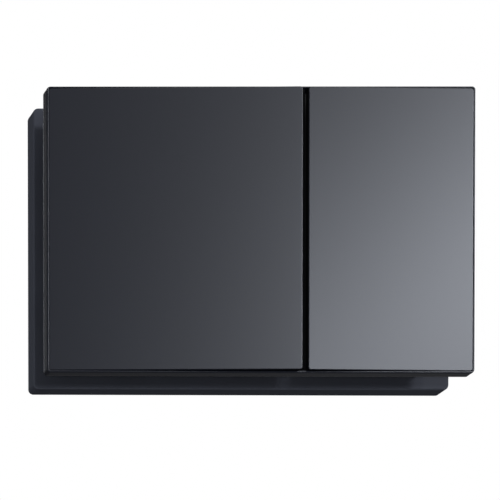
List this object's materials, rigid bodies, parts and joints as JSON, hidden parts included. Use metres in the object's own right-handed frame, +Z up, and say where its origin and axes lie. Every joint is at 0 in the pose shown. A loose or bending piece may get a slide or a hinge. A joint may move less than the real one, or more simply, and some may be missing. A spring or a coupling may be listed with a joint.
{
  "type": "flush button plate",
  "caption": "Dark flush plate for a concealed cistern: a large and a small hinged push button in a thin rim that floats off a wall base, with sprung push rods behind.",
  "frame": {"origin": "centre of the base's back edge, on the wall plane", "axes": "+Z up, +X to the right as seen from the room, +Y into the wall; the buttons face -Y"},
  "size_m": [0.246, 0.0806, 0.1646],
  "materials": {
    "panel": "satin charcoal coating",
    "rim": "satin charcoal coating",
    "base": "fine-grained black moulding",
    "carrier": "black moulding",
    "frame": "grey moulding",
    "push_rod": "natural white moulding",
    "steel": "zinc-plated",
    "spring": "bright wire",
    "buffer": "matt"
  },
  "bodies": {
    "base": {"base_plate": "base", "front_frame": "rim", "mounting_frame": "frame", "guide_bridge": "frame", "retaining_screws": "steel", "left_fastening_rod": "steel", "left_fastening_washer": "steel", "left_fastening_nut": "steel", "right_fastening_rod": "steel", "right_fastening_washer": "steel", "right_fastening_nut": "steel", "large_upper_hinge_pin": "steel", "large_lower_hinge_pin": "steel", "large_buffers": "buffer", "large_return_spring": "spring", "small_upper_hinge_pin": "steel", "small_lower_hinge_pin": "steel", "small_buffers": "buffer", "small_return_spring": "spring"},
    "large_button": {"large_button_panel": "panel", "large_button_carrier": "carrier"},
    "small_button": {"small_button_panel": "panel", "small_button_carrier": "carrier"},
    "large_rod": {"large_push_rod": "push_rod", "large_rod_tip": "push_rod", "large_rod_locknut": "push_rod"},
    "small_rod": {"small_push_rod": "push_rod", "small_rod_tip": "push_rod", "small_rod_locknut": "push_rod"}
  },
  "joints": [
    {"name": "large_button_press", "type": "hinge", "parent": "base", "child": "large_button", "pos_m": [-0.106, -0.0096, 0], "axis": [0, 0, 1], "range_deg": [0, 3.45], "stiffness_Nm_per_rad": 4, "springref_deg": -5.73},
    {"name": "small_button_press", "type": "hinge", "parent": "base", "child": "small_button", "pos_m": [0.106, -0.0096, 0], "axis": [0, 0, -1], "range_deg": [0, 4.9], "stiffness_Nm_per_rad": 4, "springref_deg": -5.73},
    {"name": "large_rod_slide", "type": "slide", "parent": "base", "child": "large_rod", "axis": [0, 1, 0], "range_m": [0, 0.0041], "deforming": ["large_return_spring"]},
    {"name": "small_rod_slide", "type": "slide", "parent": "base", "child": "small_rod", "axis": [0, 1, 0], "range_m": [0, 0.0059], "deforming": ["small_return_spring"]}
  ],
  "couplings": [
    {"joint": "large_rod_slide", "follows": "large_button_press", "m_per_rad": 0.068},
    {"joint": "small_rod_slide", "follows": "small_button_press", "m_per_rad": 0.068}
  ]
}
